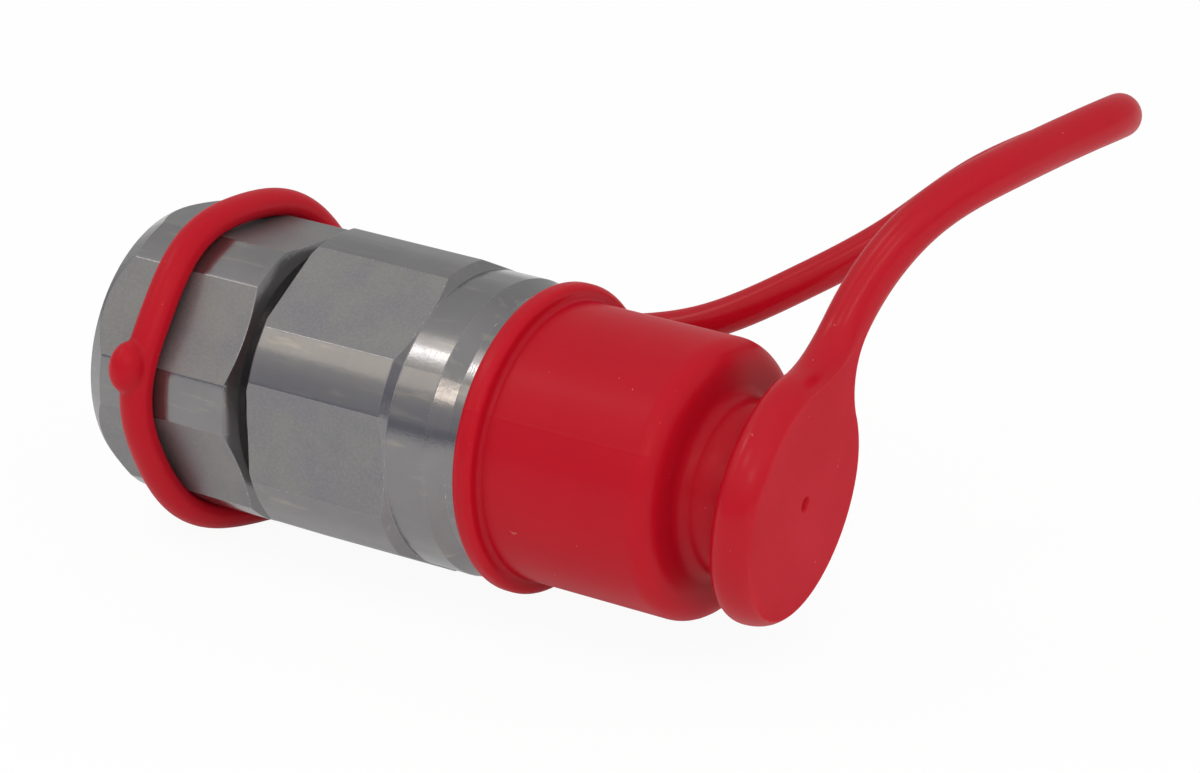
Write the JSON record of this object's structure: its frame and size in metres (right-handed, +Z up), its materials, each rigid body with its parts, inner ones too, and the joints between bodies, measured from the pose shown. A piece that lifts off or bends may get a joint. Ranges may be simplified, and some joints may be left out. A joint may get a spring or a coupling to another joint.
{
  "type": "flat face quick coupler",
  "caption": "Male half of a flat face hydraulic quick coupler with two hexagons, a sprung flat poppet and a tethered dust cap pushed over its nose.",
  "frame": {"origin": "centre of the rear end face, on the coupler's axis, at the mouth of the port thread", "axes": "+X along the coupler's axis, from the port thread to the nose and its cap; +Z up; the tether's loop lies towards +Y"},
  "size_m": [0.117, 0.0985, 0.0671],
  "materials": {
    "plated_steel": "satin plated",
    "machined_steel": "turned",
    "spring_steel": "drawn wire",
    "bronze": "turned",
    "seal_rubber": "matt",
    "backup_plastic": "matt",
    "red_moulding": "satin moulded"
  },
  "bodies": {
    "coupler_body": {"port_adapter": "plated_steel", "joint_o_ring": "seal_rubber", "joint_backup_ring": "backup_plastic", "nose_body": "plated_steel", "nose_o_ring": "seal_rubber", "nose_backup_ring": "backup_plastic", "valve_cage": "machined_steel", "cage_snap_ring": "spring_steel", "stem_bush": "bronze", "poppet_spring": "spring_steel"},
    "poppet": {"poppet_head": "plated_steel", "poppet_stem": "machined_steel", "spring_seat": "machined_steel", "relief_spring": "spring_steel"},
    "relief": {"relief_plunger": "machined_steel", "relief_seal": "seal_rubber"},
    "cap": {"dust_cap": "red_moulding"}
  },
  "joints": [
    {"name": "dust_cap_pull", "type": "slide", "parent": "coupler_body", "child": "cap", "axis": [1, 0, 0], "range_m": [0, 0.04]},
    {"name": "poppet_push", "type": "slide", "parent": "coupler_body", "child": "poppet", "axis": [-1, 0, 0], "range_m": [0, 0.0115], "stiffness_N_per_m": 3000, "springref_m": -0.012, "deforming": ["poppet_spring"]},
    {"name": "relief_push", "type": "slide", "parent": "poppet", "child": "relief", "axis": [-1, 0, 0], "range_m": [0, 0.0015], "stiffness_N_per_m": 1500, "springref_m": -0.002, "deforming": ["relief_spring"]}
  ]
}
